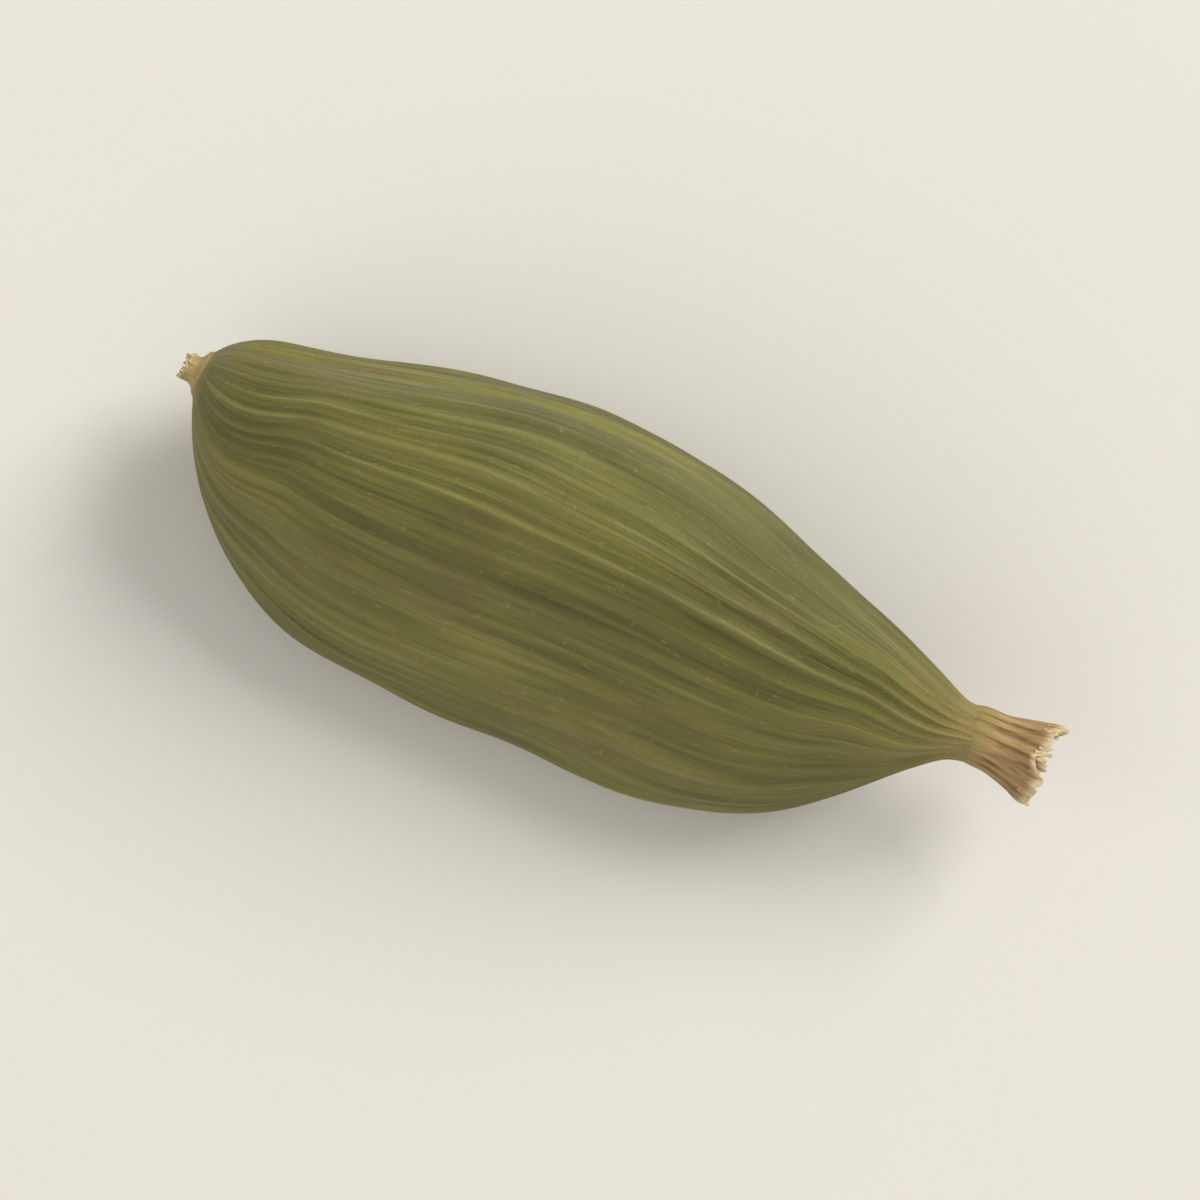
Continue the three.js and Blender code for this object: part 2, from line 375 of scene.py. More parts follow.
# %% [markdown]
# ### Seams and seeds
#
# Inside, three thin walls meet the husk down the middle of each side and hold it in, so a faint
# furrow runs there. Between the walls the rows of seeds press out soft swellings.

# %% Furrows and swellings
third = add(husk, MATH, (from_ridge, 1.5), operation="MULTIPLY")
third = add(husk, MATH, (third,), operation="COSINE")
from_seam = add(husk, MATH, (third,), operation="ARCSINE")
from_seam = add(husk, MATH, (from_seam, 1 / (1.5 * SEAM_WIDTH)), operation="MULTIPLY")
seam = add(husk, MATH, (from_seam, from_seam), operation="MULTIPLY")
seam = add(husk, MATH, (seam, -1), operation="MULTIPLY")
seam = add(husk, MATH, (seam,), operation="EXPONENT")

row = add(husk, MATH, (angle, 2), operation="MULTIPLY")
row = add(husk, MATH, (share, 2 * math.pi * SEEDS_IN_A_ROW, row), operation="MULTIPLY_ADD")
row = add(husk, MATH, (row,), operation="SINE")
between = add(husk, MATH, (third, third), operation="MULTIPLY")
seeds = add(husk, MATH, (row, between), operation="MULTIPLY")

low_relief = add(husk, MATH, (seam, -SEAM_DEPTH, raised), operation="MULTIPLY_ADD")
low_relief = add(husk, MATH, (seeds, SEED_BULGE, low_relief), operation="MULTIPLY_ADD")
off_base = add(husk, RANGE, (share, 0, BARE_ENDS, 0, 1), interpolation_type="SMOOTHSTEP")
off_beak = add(husk, RANGE, (share, 1 - BARE_ENDS, 1, 1, 0), interpolation_type="SMOOTHSTEP")
fade = add(husk, MATH, (off_base, off_beak), operation="MULTIPLY")
low_relief = add(husk, MATH, (low_relief, fade), operation="MULTIPLY")
print("3 seams, and swellings", round(LENGTH / SEEDS_IN_A_ROW / MM, 1), "mm apart along the pod")

# %% [markdown]
# ### Wrinkles, creases and fibres
#
# As the husk dries it shrinks between its veins and wrinkles along them. A noise gives such uneven
# marks, but it has to be drawn out along the pod and has to meet itself all the way round. Both come
# from looking the noise up on a rod: the point's place on a plain round rod of the pod's own
# thickness, in millimetres, squeezed along its length. The rod's coordinates are kept on the mesh as
# the attribute grain, because the colours follow the same marks later.

# %% Lay the grain on a rod
ROD_RADIUS = WIDEST / MM
rod_x = add(husk, MATH, (along, 1 / MM), operation="MULTIPLY")
rod_y = add(husk, MATH, (angle,), operation="COSINE")
rod_z = add(husk, MATH, (angle,), operation="SINE")
rod_y = add(husk, MATH, (rod_y, ROD_RADIUS), operation="MULTIPLY")
rod_z = add(husk, MATH, (rod_z, ROD_RADIUS), operation="MULTIPLY")
grain = add(husk, "ShaderNodeCombineXYZ", (rod_x, rod_y, rod_z))

DRAWN_OUT = (0.16, 1, 1)
LONG_DRAWN = (0.05, 1, 1)
wrinkle_place = add(husk, "ShaderNodeVectorMath", (grain, DRAWN_OUT), operation="MULTIPLY")
fibre_place = add(husk, "ShaderNodeVectorMath", (grain, LONG_DRAWN), operation="MULTIPLY")
print("the rod is", round(2 * ROD_RADIUS, 1), "mm thick")

# %% Wrinkle the skin
WRINKLES_PER_MM = 0.9
CREASES_PER_MM = 0.75
FIBRES_PER_MM = 4.2
CREASE_WIDTH = 0.12  # of the noise's own range
wrinkle = add(
    husk,
    NOISE,
    {"Vector": wrinkle_place, "W": given["Seed"], "Scale": WRINKLES_PER_MM, "Detail": 3.0},
    noise_dimensions="4D",
)
wrinkle = add(husk, MATH, (wrinkle, -0.5), operation="ADD")
crease_seed = add(husk, MATH, (given["Seed"], 7.3), operation="ADD")
crease = add(
    husk,
    NOISE,
    {"Vector": wrinkle_place, "W": crease_seed, "Scale": CREASES_PER_MM, "Detail": 2.0},
    noise_dimensions="4D",
)
crease = add(husk, RANGE, (crease, 0, 1, -1, 1))
crease = add(husk, MATH, (crease,), operation="ABSOLUTE")
crease = add(husk, RANGE, (crease, 0, CREASE_WIDTH, 1, 0), interpolation_type="SMOOTHERSTEP")
fibre = add(
    husk,
    NOISE,
    {"Vector": fibre_place, "W": given["Seed"], "Scale": FIBRES_PER_MM, "Detail": 1.0},
    noise_dimensions="4D",
)
fibre = add(husk, MATH, (fibre, -0.5), operation="ADD")

wrinkled = add(husk, MATH, (wrinkle, given["Wrinkle Depth"]), operation="MULTIPLY")
creased = add(husk, MATH, (crease, given["Crease Depth"]), operation="MULTIPLY")
fine_relief = add(husk, MATH, (wrinkled, creased), operation="SUBTRACT")
fine_relief = add(
    husk, MATH, (fibre, given["Fibre Height"], fine_relief), operation="MULTIPLY_ADD"
)
thickness = add(husk, MATH, (half_width, given["Half Width"]), operation="DIVIDE")
fine_relief = add(husk, MATH, (fine_relief, thickness), operation="MULTIPLY")
relief = add(husk, MATH, (low_relief, fine_relief), operation="ADD")
print("a wrinkle is about", round(1 / WRINKLES_PER_MM, 1), "mm across")

# %% [markdown]
# ### Put every point in its place
#
# The half width and the relief together are how far a point stands from the middle line. Nothing
# goes below the surface that the pod lies on, which leaves the small flat spot that it rests on. A
# smooth maximum does it, so the spot has a soft edge. The veins, the share of the length, the creases
# and the grain are stored for the material first, while each point still stands on the blank, because
# its angle is read from where it stands.

# %% Finish the husk's tree
REST_EDGE = 0.08 * MM
reach = add(husk, MATH, (half_width, relief), operation="ADD")
reach = add(husk, MATH, (reach, on_wall), operation="MULTIPLY")
place_x = add(husk, MATH, (along, BASE.x), operation="ADD")
place_y = add(husk, MATH, (reach, unit_y, middle_y), operation="MULTIPLY_ADD")
place_z = add(husk, MATH, (reach, unit_z, middle_z), operation="MULTIPLY_ADD")
place_z = add(husk, MATH, (place_z, 0, REST_EDGE), operation="SMOOTH_MAX")
place = add(husk, "ShaderNodeCombineXYZ", (place_x, place_y, place_z))

# The creases are kept for painted shade, and the veins for a partly painted highlight.
kept = {
    "vein": ("FLOAT", vein),
    "share": ("FLOAT", share),
    "crease": ("FLOAT", crease),
    "grain": ("FLOAT_VECTOR", grain),
}
skin = blank
for name, (data_type, value) in kept.items():
    skin = add(
        husk,
        "GeometryNodeStoreNamedAttribute",
        {"Geometry": skin, "Name": name, "Value": value},
        data_type=data_type,
    )
skin = add(husk, "GeometryNodeSetPosition", {"Geometry": skin, "Position": place})
skin = add(husk, "GeometryNodeSetShadeSmooth", {"Geometry": skin})
skin = add(husk, "GeometryNodeRealizeInstances", {"Geometry": skin})
skin = add(husk, "GeometryNodeSetMaterial", {"Geometry": skin, "Material": given["Material"]})
add(husk, "NodeGroupOutput", (skin,))
print("the husk's tree has", len(husk.nodes), "nodes")

# %% [markdown]
# ## The husk's material
#
# What it is: the dried outer wall of a fruit, kiln dried while green. It is a fibrous, leathery skin
# with a thin natural wax, so it has a soft satin gloss and no shine. Olive green lies in the valleys,
# the veins are paler and yellower, partly their own colour and partly a painted highlight, the creases
# carry painted shade, and both ends go to straw. A picture could be wrapped round it, but would blur
# close up. So colour, gloss and the finest relief are all made by noises that read the same grain
# coordinates as the wrinkles.

# %% Husk: what the colours read
husk_skin = bpy.data.materials.new("kiln_dried_leathery_husk")
husk_skin.use_nodes = True
skin_tree = husk_skin.node_tree
skin_tree.nodes.clear()


def read(tree, name):
    """The outputs of an Attribute node that reads one of the mesh's stored values."""
    return add(tree, "ShaderNodeAttribute", attribute_name=name).outputs


along_share = read(skin_tree, "share")["Fac"]
vein_crest = read(skin_tree, "vein")["Fac"]
crease_line = read(skin_tree, "crease")["Fac"]
grain_mm = read(skin_tree, "grain")["Vector"]


def streaks(tree, vector, per_mm, drawn_out, detail=3.0, roughness=0.5):
    """A noise with so many marks to the millimetre across the grain, drawn out along it."""
    place = add(tree, "ShaderNodeMapping", {"Vector": vector, "Scale": (1 / drawn_out, 1, 1)})
    return add(
        tree, NOISE, {"Vector": place, "Scale": per_mm, "Detail": detail, "Roughness": roughness}
    )


print("the colours read:", ", ".join(kept))

# %% Husk: greens, veins with a painted highlight, and creases with painted shade
DEEP_GREEN = "#5b5c26"
LIGHT_GREEN = "#7a7638"
VEIN_YELLOW_AND_HIGHLIGHT = "#989050"
CREASE_SHADE_GREEN = "#4d4b23"
shade = streaks(skin_tree, grain_mm, 0.35, 3, detail=4.0, roughness=0.6)
shade = add(skin_tree, RANGE, (shade, 0.35, 0.65, 0, 1))
green = add(skin_tree, MIX, (shade, colour(DEEP_GREEN), colour(LIGHT_GREEN)), data_type="RGBA")
fine = streaks(skin_tree, grain_mm, 5.0, 24, detail=4.0, roughness=0.65)
fine = add(skin_tree, RANGE, (fine, 0.3, 0.7, 0.24, 0.76))
green = add(skin_tree, MIX, (0.75, green, fine), data_type="RGBA", blend_type="OVERLAY")

# The vein crests are painted paler and yellower: partly the strands' own colour, partly a painted
# highlight along each ridge.
crest_and_highlight = add(skin_tree, RANGE, (vein_crest, 0.25, 0.95, 0, 0.35))
husk_colour = add(skin_tree, MIX, (crest_and_highlight, green, colour(VEIN_YELLOW_AND_HIGHLIGHT)), data_type="RGBA")
# Painted shade: the creases are painted darker green, where shade falls in them.
crease_shade = add(skin_tree, MATH, (crease_line, 0.25), operation="MULTIPLY")
husk_colour = add(
    skin_tree, MIX, (crease_shade, husk_colour, colour(CREASE_SHADE_GREEN)), data_type="RGBA"
)
print("light green in linear light:", [round(c, 3) for c in colour(LIGHT_GREEN)])

# %% [markdown]
# Both ends die back to straw over a ragged edge, and go quite dry just where the stalk and the calyx
# sit. Brown blotches and pale specks lie over everything. Each is a noise that a range cuts down to
# its highest parts, and its last number is how strongly the colour covers there.

# %% Husk: dry ends, blotches and specks
STRAW = "#96864c"
HUSK_END = "#9c8950"
BLOTCH_BROWN = "#6e5d38"
SPECK_PALE = "#a39c63"
SOFT = "SMOOTHSTEP"
ragged = streaks(skin_tree, grain_mm, 1.6, 6, detail=3.0)
edge = add(skin_tree, MATH, (ragged, 0.12, along_share), operation="MULTIPLY_ADD")
straw_base = add(skin_tree, RANGE, (edge, 0.05, 0.16, 0.12, 0), interpolation_type=SOFT)
straw_beak = add(skin_tree, RANGE, (edge, 0.9, 1.06, 0, 0.6), interpolation_type=SOFT)
straw = add(skin_tree, MATH, (straw_base, straw_beak), operation="MAXIMUM")
husk_colour = add(skin_tree, MIX, (straw, husk_colour, colour(STRAW)), data_type="RGBA")
dry_base = add(skin_tree, RANGE, (along_share, 0, 0.014, 0.8, 0), interpolation_type=SOFT)
dry_beak = add(skin_tree, RANGE, (along_share, 0.935, 0.99, 0, 1), interpolation_type=SOFT)
dry = add(skin_tree, MATH, (dry_base, dry_beak), operation="MAXIMUM")
husk_colour = add(skin_tree, MIX, (dry, husk_colour, colour(HUSK_END)), data_type="RGBA")

blotch = streaks(skin_tree, grain_mm, 0.55, 2, detail=5.0, roughness=0.7)
blotch = add(skin_tree, RANGE, (blotch, 0.52, 0.7, 0, 0.5), interpolation_type=SOFT)
husk_colour = add(skin_tree, MIX, (blotch, husk_colour, colour(BLOTCH_BROWN)), data_type="RGBA")
speck = streaks(skin_tree, grain_mm, 5.5, 1.4, detail=2.0, roughness=0.7)
speck = add(skin_tree, RANGE, (speck, 0.64, 0.74, 0, 0.3), interpolation_type=SOFT)
husk_colour = add(skin_tree, MIX, (speck, husk_colour, colour(SPECK_PALE)), data_type="RGBA")
print("the colour takes", len(skin_tree.nodes), "nodes")

# %% [markdown]
# The gloss varies a little from place to place, because the wax has worn unevenly. Three bump layers
# carry what is too fine for the mesh: hair-thin fibres, pits and a soft pucker across the grain. The
# pits stand for single skin cells, which are too small to show here, so they are drawn about twice
# as coarse.

# %% Husk: gloss and the finest relief
HAIRS_PER_MM = 9.0
PITS_PER_MM = 16.0
PUCKERS_PER_MM = 2.0
HAIR_RELIEF = 0.045 * MM
PIT_RELIEF = 0.012 * MM
PUCKER_RELIEF = 0.05 * MM
dull = streaks(skin_tree, grain_mm, 1.4, 5, detail=3.0)
husk_roughness = add(skin_tree, RANGE, (dull, 0.3, 0.7, 0.56, 0.72))

hair_height = streaks(skin_tree, grain_mm, HAIRS_PER_MM, 30, detail=3.0, roughness=0.6)
pit_height = streaks(skin_tree, grain_mm, PITS_PER_MM, 1.6, detail=2.0)
pucker_height = streaks(skin_tree, grain_mm, PUCKERS_PER_MM, 0.4, detail=4.0, roughness=0.6)
skin_bump = add(
    skin_tree,
    "ShaderNodeBump",
    {"Strength": 0.8, "Distance": HAIR_RELIEF, "Height": hair_height},
)
skin_bump = add(
    skin_tree,
    "ShaderNodeBump",
    {"Strength": 0.5, "Distance": PIT_RELIEF, "Height": pit_height, "Normal": skin_bump},
)
skin_bump = add(
    skin_tree,
    "ShaderNodeBump",
    {"Strength": 0.75, "Distance": PUCKER_RELIEF, "Height": pucker_height, "Normal": skin_bump},
)
husk_shader = add(
    skin_tree,
    "ShaderNodeBsdfPrincipled",
    {
        "Base Color": husk_colour,
        "Roughness": husk_roughness,
        "IOR": 1.45,
        "Specular IOR Level": 0.4,
        "Sheen Weight": 0.06,
        "Sheen Roughness": 0.5,
        "Normal": skin_bump,
    },
)
add(skin_tree, "ShaderNodeOutputMaterial", (husk_shader,))
print("husk material:", len(skin_tree.nodes), "nodes")

# %% [markdown]
# ## From tree to mesh
#
# A modifier carries the tree. Its inputs are set by each socket's identifier, before the object is
# first looked at. The evaluated result is then copied to a plain mesh, and the carrier is removed.


# %% Grow the husk
def grown(name, tree, inputs):
    """The plain mesh object that a Geometry Nodes tree makes with these inputs."""
    carrier = bpy.data.objects.new(name + "_carrier", bpy.data.meshes.new(name + "_carrier"))
    bpy.context.scene.collection.objects.link(carrier)
    modifier = carrier.modifiers.new("Nodes", "NODES")
    modifier.node_group = tree
    for item in tree.interface.items_tree:
        if item.in_out == "INPUT":
            modifier[item.identifier] = inputs[item.name]
    looked_at = carrier.evaluated_get(bpy.context.evaluated_depsgraph_get())
    mesh = bpy.data.meshes.new_from_object(looked_at)
    bpy.data.objects.remove(carrier)
    mesh.name = name
    piece = bpy.data.objects.new(name, mesh)
    bpy.context.scene.collection.objects.link(piece)
    print(name, "has", len(mesh.polygons), "faces, in mm", [round(x / MM, 2) for x in piece.dimensions])
    return piece


green_husk = grown(
    "green_husk",
    husk,
    {
        "Length": LENGTH,
        "Half Width": WIDEST,
        "Veins": VEINS,
        "Vein Height": VEIN_HEIGHT,
        "Wrinkle Depth": 0.04 * MM,
        "Crease Depth": 0.018 * MM,
        "Fibre Height": 0.035 * MM,
        "Seed": 4.0,
        "Material": husk_skin,
    },
)

# %% [markdown]
# ## Turned pieces
#
# The stub and the calyx are short round forms. They could be cut from cylinders, but a turned profile
# gives each its foot, its flare and its hollow in one closed skin, and both share one function. It
# takes a profile of places along the axis and radii, smooths it, turns it round the X axis and closes
# it on the axis at both ends. Each piece then has its own rule that makes the round form uneven. Two
# values are stored for the material: grain, as on the husk, and run, which is how far a point is
# along the profile, from the sunk root to the floor of the hollow.


# %% Turn a profile
def smoothed(profile, steps):
    """A Catmull-Rom curve through the profile's points, with so many steps to each span."""
    points = np.array([profile[0], *profile, profile[-1]], float)
    t = np.linspace(0, 1, steps, endpoint=False)[:, None]
    spans = []
    for a, b, c, d in zip(points, points[1:], points[2:], points[3:]):
        slope = (c - a) * t / 2
        bend = (2 * a - 5 * b + 4 * c - d) * t**2 / 2
        twist = (3 * b - a - 3 * c + d) * t**3 / 2
        spans.append(b + slope + bend + twist)
    return np.vstack([*spans, points[-1:]])


def turned_faces(sides, rings):
    """Squares between the rings, and a fan of triangles to the pole at each end."""
    last_ring = (rings - 1) * sides
    first_pole = rings * sides
    faces = []
    for i in range(sides):
        j = (i + 1) % sides
        faces.append((first_pole, i, j))
        for k in range(0, last_ring, sides):
            faces.append((k + i, k + sides + i, k + sides + j, k + j))
        faces.append((first_pole + 1, last_ring + j, last_ring + i))
    return faces


def turned_piece(name, profile, sides, steps, shape, centre, material):
    """A closed mesh: the profile turned round X at centre, with each point moved by shape."""
    rings = smoothed(profile, steps)[1:-1]
    angles = np.linspace(0, 2 * math.pi, sides, endpoint=False)
    around, x = np.meshgrid(angles, rings[:, 0])
    radius = np.meshgrid(angles, np.maximum(rings[:, 1], 0))[1]
    run = np.meshgrid(angles, np.linspace(0, 1, len(rings)))[1]
    x, radius = shape(x, radius, around)
    points = np.stack([x, radius * np.cos(around), radius * np.sin(around)], -1).reshape(-1, 3)
    poles = np.array([[x[0].mean(), 0, 0], [x[-1].mean(), 0, 0]])
    verts = np.vstack([points, poles]) * MM + np.array(centre)
    faces = turned_faces(sides, len(rings))
    mesh = bpy.data.meshes.new(name)
    mesh.from_pydata(verts.tolist(), [], faces)

    runs = np.append(run.ravel(), (0, 1)).astype(np.float32)
    mesh.attributes.new("run", "FLOAT", "POINT").data.foreach_set("value", runs)
    rod = np.stack([x, np.cos(around), np.sin(around)], -1).reshape(-1, 3)
    rod = np.vstack([rod, poles]).astype(np.float32)
    mesh.attributes.new("grain", "FLOAT_VECTOR", "POINT").data.foreach_set("vector", rod.ravel())
    mesh.shade_smooth()
    mesh.materials.append(material)
    piece = bpy.data.objects.new(name, mesh)
    bpy.context.scene.collection.objects.link(piece)
    print(name, "has", len(faces), "faces")
    return piece


def ease(value, low, high):
    """0 below low, 1 above high, and a smooth step between."""
    t = np.clip((value - low) / (high - low), 0, 1)
    return t * t * (3 - 2 * t)


# %% [markdown]
# ## The stalk stub
#
# What it is: the torn end of a thin woody stalk. Its foot spreads over the husk, long fibres give it
# grooves, and they stand up unevenly where the stalk was torn. The material is pale straw, matt, and
# paler and rougher on the torn end, where fresh fibre shows.
#
# The calyx is dry plant matter too, so one function makes both materials. It lays the colours along
# the run: the husk's own straw at the foot, the streaked wall, the torn crown and the core. In the
# calyx the core lines the hollow, and its colour there is the tissue's own red-brown, darkened as
# painted shade.


# %% Stalk material
def plant_material(name, wall, streak, crown, core_and_hollow_shade, foot_until, crown_from, core_from, per_mm):
    """Dry plant matter, coloured along the run, with so many fibres to the millimetre."""
    material = bpy.data.materials.new(name)
    material.use_nodes = True
    tree = material.node_tree
    tree.nodes.clear()
    grain = read(tree, "grain")["Vector"]
    run = read(tree, "run")["Fac"]
    lines = streaks(tree, grain, per_mm, 6, detail=4.0, roughness=0.6)
    tone = add(tree, RANGE, (lines, 0.35, 0.65, 0, 1))
    shown = add(tree, MIX, (tone, colour(wall), colour(streak)), data_type="RGBA")
    ragged_run = add(tree, MATH, (lines, 0.06, run), operation="MULTIPLY_ADD")
    # In the calyx the core colour lines the hollow, darkened there as painted shade.
    stretches = (
        (foot_until, foot_until + 0.12, 1, 0, HUSK_END),
        (crown_from + 0.03, crown_from + 0.11, 0, 1, crown),
        (core_from, core_from + 0.14, 0, 1, core_and_hollow_shade),
    )
    for start, stop, before, after, hex_code in stretches:
        there = add(
            tree, RANGE, (ragged_run, start, stop, before, after), interpolation_type=SOFT
        )
        shown = add(tree, MIX, (there, shown, colour(hex_code)), data_type="RGBA")
    dark = add(tree, RANGE, (lines, 0.3, 0.5, 0.45, 0))
    shown = add(
        tree, MIX, (dark, shown, colour(core_and_hollow_shade)), data_type="RGBA", blend_type="MULTIPLY"
    )
    bump = add(
        tree,
        "ShaderNodeBump",
        {"Strength": 0.8, "Distance": 0.035 * MM, "Height": lines},
    )
    shader = add(
        tree,
        "ShaderNodeBsdfPrincipled",
        {"Base Color": shown, "Roughness": 0.78, "IOR": 1.45, "Normal": bump},
    )
    add(tree, "ShaderNodeOutputMaterial", (shader,))
    print(name, "has", len(tree.nodes), "nodes")
    return material


torn_stalk = plant_material(
    "torn_dry_stalk",
    wall="#9a8552",
    streak="#bda672",
    crown="#d6c496",
    core_and_hollow_shade="#a98d5e",
    foot_until=0.24,
    crown_from=0.6,
    core_from=0.86,
    per_mm=7.0,
)


# %% Stalk stub
STALK_LENGTH = 0.35
STUB_PROFILE = [
    (0.2, 0),
    (0.2, 0.35),
    (0.08, 0.48),
    (0.0, 0.46),
    (-0.04, 0.4),
    (-0.09, 0.32),
    (-0.16, 0.275),
    (-0.26, 0.265),
    (-0.32, 0.275),
    (-STALK_LENGTH, 0.24),
    (-0.33, 0.16),
    (-0.3, 0.07),
    (-0.29, 0),
]


def spikes(around, count, start):
    """From -1 to 1, with so many sharp peaks to a turn."""
    return 1 - 2 * np.abs(np.sin(count * (around + start) / 2))


def stub_shape(x, radius, around):
    """Grooves that deepen towards the torn end, a slanted tear and fibres of uneven length."""
    to_cut = ease(-x, 0.02, STALK_LENGTH)
    grooves = 0.07 * np.sin(3 * around + 1) + 0.05 * np.sin(7 * around)
    grooves = grooves + 0.035 * np.sin(17 * around + 2 * x) + 0.02 * np.sin(31 * around - 3 * x)
    tear = 0.18 * to_cut * radius * np.cos(around)
    frayed = 0.03 * spikes(around, 13, 0) + 0.03 * spikes(around, 21, 1)
    frayed = frayed + 0.015 * spikes(around, 34, 2)
    frayed = frayed * ease(radius, 0.1, 0.24) * ease(-x, 0.25, 0.33)
    return x + tear - frayed, radius * (1 + grooves * to_cut)


stub = turned_piece("torn_stub", STUB_PROFILE, 180, 7, stub_shape, BASE, torn_stalk)

# %% [markdown]
# ## The calyx tube
#
# What it is: the green tube that held the flower, now dry, brown and papery. It flares from the beak
# to a thick pale rim that is torn into uneven lobes, with a hollow inside that is painted dark
# red-brown: the tissue's own red-brown, darkened as painted shade. Nerves run up its outside, and the
# whole tube bends up a little towards its rim.

# %% Calyx
papery_calyx = plant_material(
    "dry_papery_calyx",
    wall="#86683f",
    streak="#b39564",
    crown="#d6bf98",
    # The hollow's colour: the tissue's own red-brown, darkened as painted shade.
    core_and_hollow_shade="#4e2c1c",
    foot_until=0.2,
    crown_from=0.42,
    core_from=0.66,
    per_mm=5.0,
)
CALYX_LENGTH = 1.3
CALYX_BENDS_FROM = 0.3 * CALYX_LENGTH
CALYX_TILT = 0.18
CALYX_PROFILE = [
    (-0.4, 0),
    (-0.4, 0.45),
    (-0.28, 0.55),
    (-0.1, 0.595),
    (0.08, 0.605),
    (0.34, 0.61),
    (0.7, 0.68),
    (1.0, 0.76),
    (1.18, 0.82),
    (1.28, 0.84),
    (CALYX_LENGTH, 0.81),
    (1.25, 0.74),
    (1.14, 0.62),
    (1.02, 0.51),
    (0.84, 0.42),
    (0.62, 0.33),
    (0.52, 0.2),
    (0.5, 0),
]


def calyx_shape(x, radius, around):
    """Nerves, a torn rim in three main lobes, and a wall that has buckled as it dried."""
    to_rim = ease(x, CALYX_BENDS_FROM, CALYX_LENGTH)
    torn = 0.12 * np.sin(3 * around + 0.6) + 0.07 * np.sin(7 * around)
    torn = torn + 0.04 * spikes(around, 11, 0.4) + 0.035 * spikes(around, 19, 2)
    torn = torn + 0.02 * spikes(around, 37, 1)
    nerves = 0.035 * np.sin(9 * around) + 0.02 * np.sin(18 * around + 1)
    nerves = nerves + 0.012 * np.sin(35 * around)
    return x + torn * to_rim**3, radius * (1 + nerves * ease(x, 0.1, 0.9))


calyx = turned_piece("papery_calyx", CALYX_PROFILE, 216, 7, calyx_shape, BEAK, papery_calyx)

# %% Bend the calyx up
tube = np.zeros(3 * len(calyx.data.vertices))
calyx.data.vertices.foreach_get("co", tube)
tube = tube.reshape(-1, 3)
bent = ease((tube[:, 0] - BEAK.x) / MM, CALYX_BENDS_FROM, CALYX_LENGTH)
tube[:, 2] += CALYX_TILT * MM * bent
calyx.data.vertices.foreach_set("co", tube.ravel())
calyx.data.update()
print("the rim is lifted by", CALYX_TILT, "mm")

# %% [markdown]
# ## Torn fibres
#
# Where the stalk broke and where the calyx tore, loose fibres stand out of the edge. They are one
# thing repeated, so Geometry Nodes make them: a bent, tapering strip, set on points round a ring, each
# with its own length and lean. Nearly round and thin, they are the stalk's fibres. Flat and wide, they
# are the papery shreds of the calyx.

# %% Start the fibres' tree
fray_inputs = {
    "Centre": "Vector",
    "Count": "Int",
    "Ring Radius": "Float",
    "Length": "Float",
    "Width": "Float",
    "Thickness": "Float",
    "Splay": "Float",
    "Seed": "Int",
    "Material": "Material",
}
fray, ask = start_tree("Frayed Edge", fray_inputs, "Fibres")
print("the fibres' tree takes", len(fray_inputs), "inputs")

# %% One strip
ROOTED = 0.6  # how much of its own length a strip goes into what it grows from
BEND_AT = 0.4
TIP_RADIUS = 0.15
rooted = add(fray, MATH, (ask["Length"], -ROOTED), operation="MULTIPLY")
bend_at = add(fray, MATH, (ask["Length"], BEND_AT), operation="MULTIPLY")
outward = add(fray, MATH, (ask["Length"], ask["Splay"]), operation="MULTIPLY")
outward = add(fray, MATH, (outward,), operation="ABSOLUTE")
strip = add(
    fray,
    "GeometryNodeCurveQuadraticBezier",
    {
        "Resolution": 8,
        "Start": add(fray, "ShaderNodeCombineXYZ", (rooted, 0, 0)),
        "Middle": add(fray, "ShaderNodeCombineXYZ", (bend_at, 0, 0)),
        "End": add(fray, "ShaderNodeCombineXYZ", (ask["Length"], outward, 0)),
    },
)
run_out = add(fray, "GeometryNodeSplineParameter").outputs["Factor"]
tapered = add(fray, RANGE, (run_out, 0.3, 1, 1, TIP_RADIUS))
strip = add(fray, "GeometryNodeSetCurveRadius", {"Curve": strip, "Radius": tapered})
strip = add(fray, "GeometryNodeSetCurveNormal", {"Curve": strip}, mode="Z_UP")
round_section = add(fray, "GeometryNodeCurvePrimitiveCircle", {"Resolution": 8, "Radius": 0.5})
flat_size = add(fray, "ShaderNodeCombineXYZ", (ask["Thickness"], ask["Width"], 1))
flat_section = add(
    fray, "GeometryNodeTransform", {"Geometry": round_section, "Scale": flat_size}
)
strip = add(
    fray,
    "GeometryNodeCurveToMesh",
    {"Curve": strip, "Profile Curve": flat_section, "Fill Caps": True},
)
print("a strip tapers to", TIP_RADIUS, "of its width")

# %% Places round the ring
SHIFT = 0.035  # of a turn
place_number = add(fray, "GeometryNodeInputIndex")
part_turn = add(fray, MATH, (place_number, ask["Count"]), operation="DIVIDE")
shift = add(
    fray,
    "FunctionNodeRandomValue",
    {"Min": -SHIFT, "Max": SHIFT, "Seed": ask["Seed"]},
    data_type="FLOAT",
)
part_turn = add(fray, MATH, (part_turn, shift), operation="ADD")
facing = add(fray, MATH, (part_turn, 2 * math.pi), operation="MULTIPLY")
ring_y = add(fray, MATH, (facing,), operation="COSINE")
ring_y = add(fray, MATH, (ring_y, ask["Ring Radius"]), operation="MULTIPLY")
ring_z = add(fray, MATH, (facing,), operation="SINE")
ring_z = add(fray, MATH, (ring_z, ask["Ring Radius"]), operation="MULTIPLY")
on_ring = add(fray, "ShaderNodeCombineXYZ", (0, ring_y, ring_z))
on_ring = add(fray, "ShaderNodeVectorMath", (on_ring, ask["Centre"]), operation="ADD")
places = add(fray, "GeometryNodePoints", {"Count": ask["Count"], "Position": on_ring})
print("a strip is shifted by up to", round(360 * SHIFT, 1), "degrees")

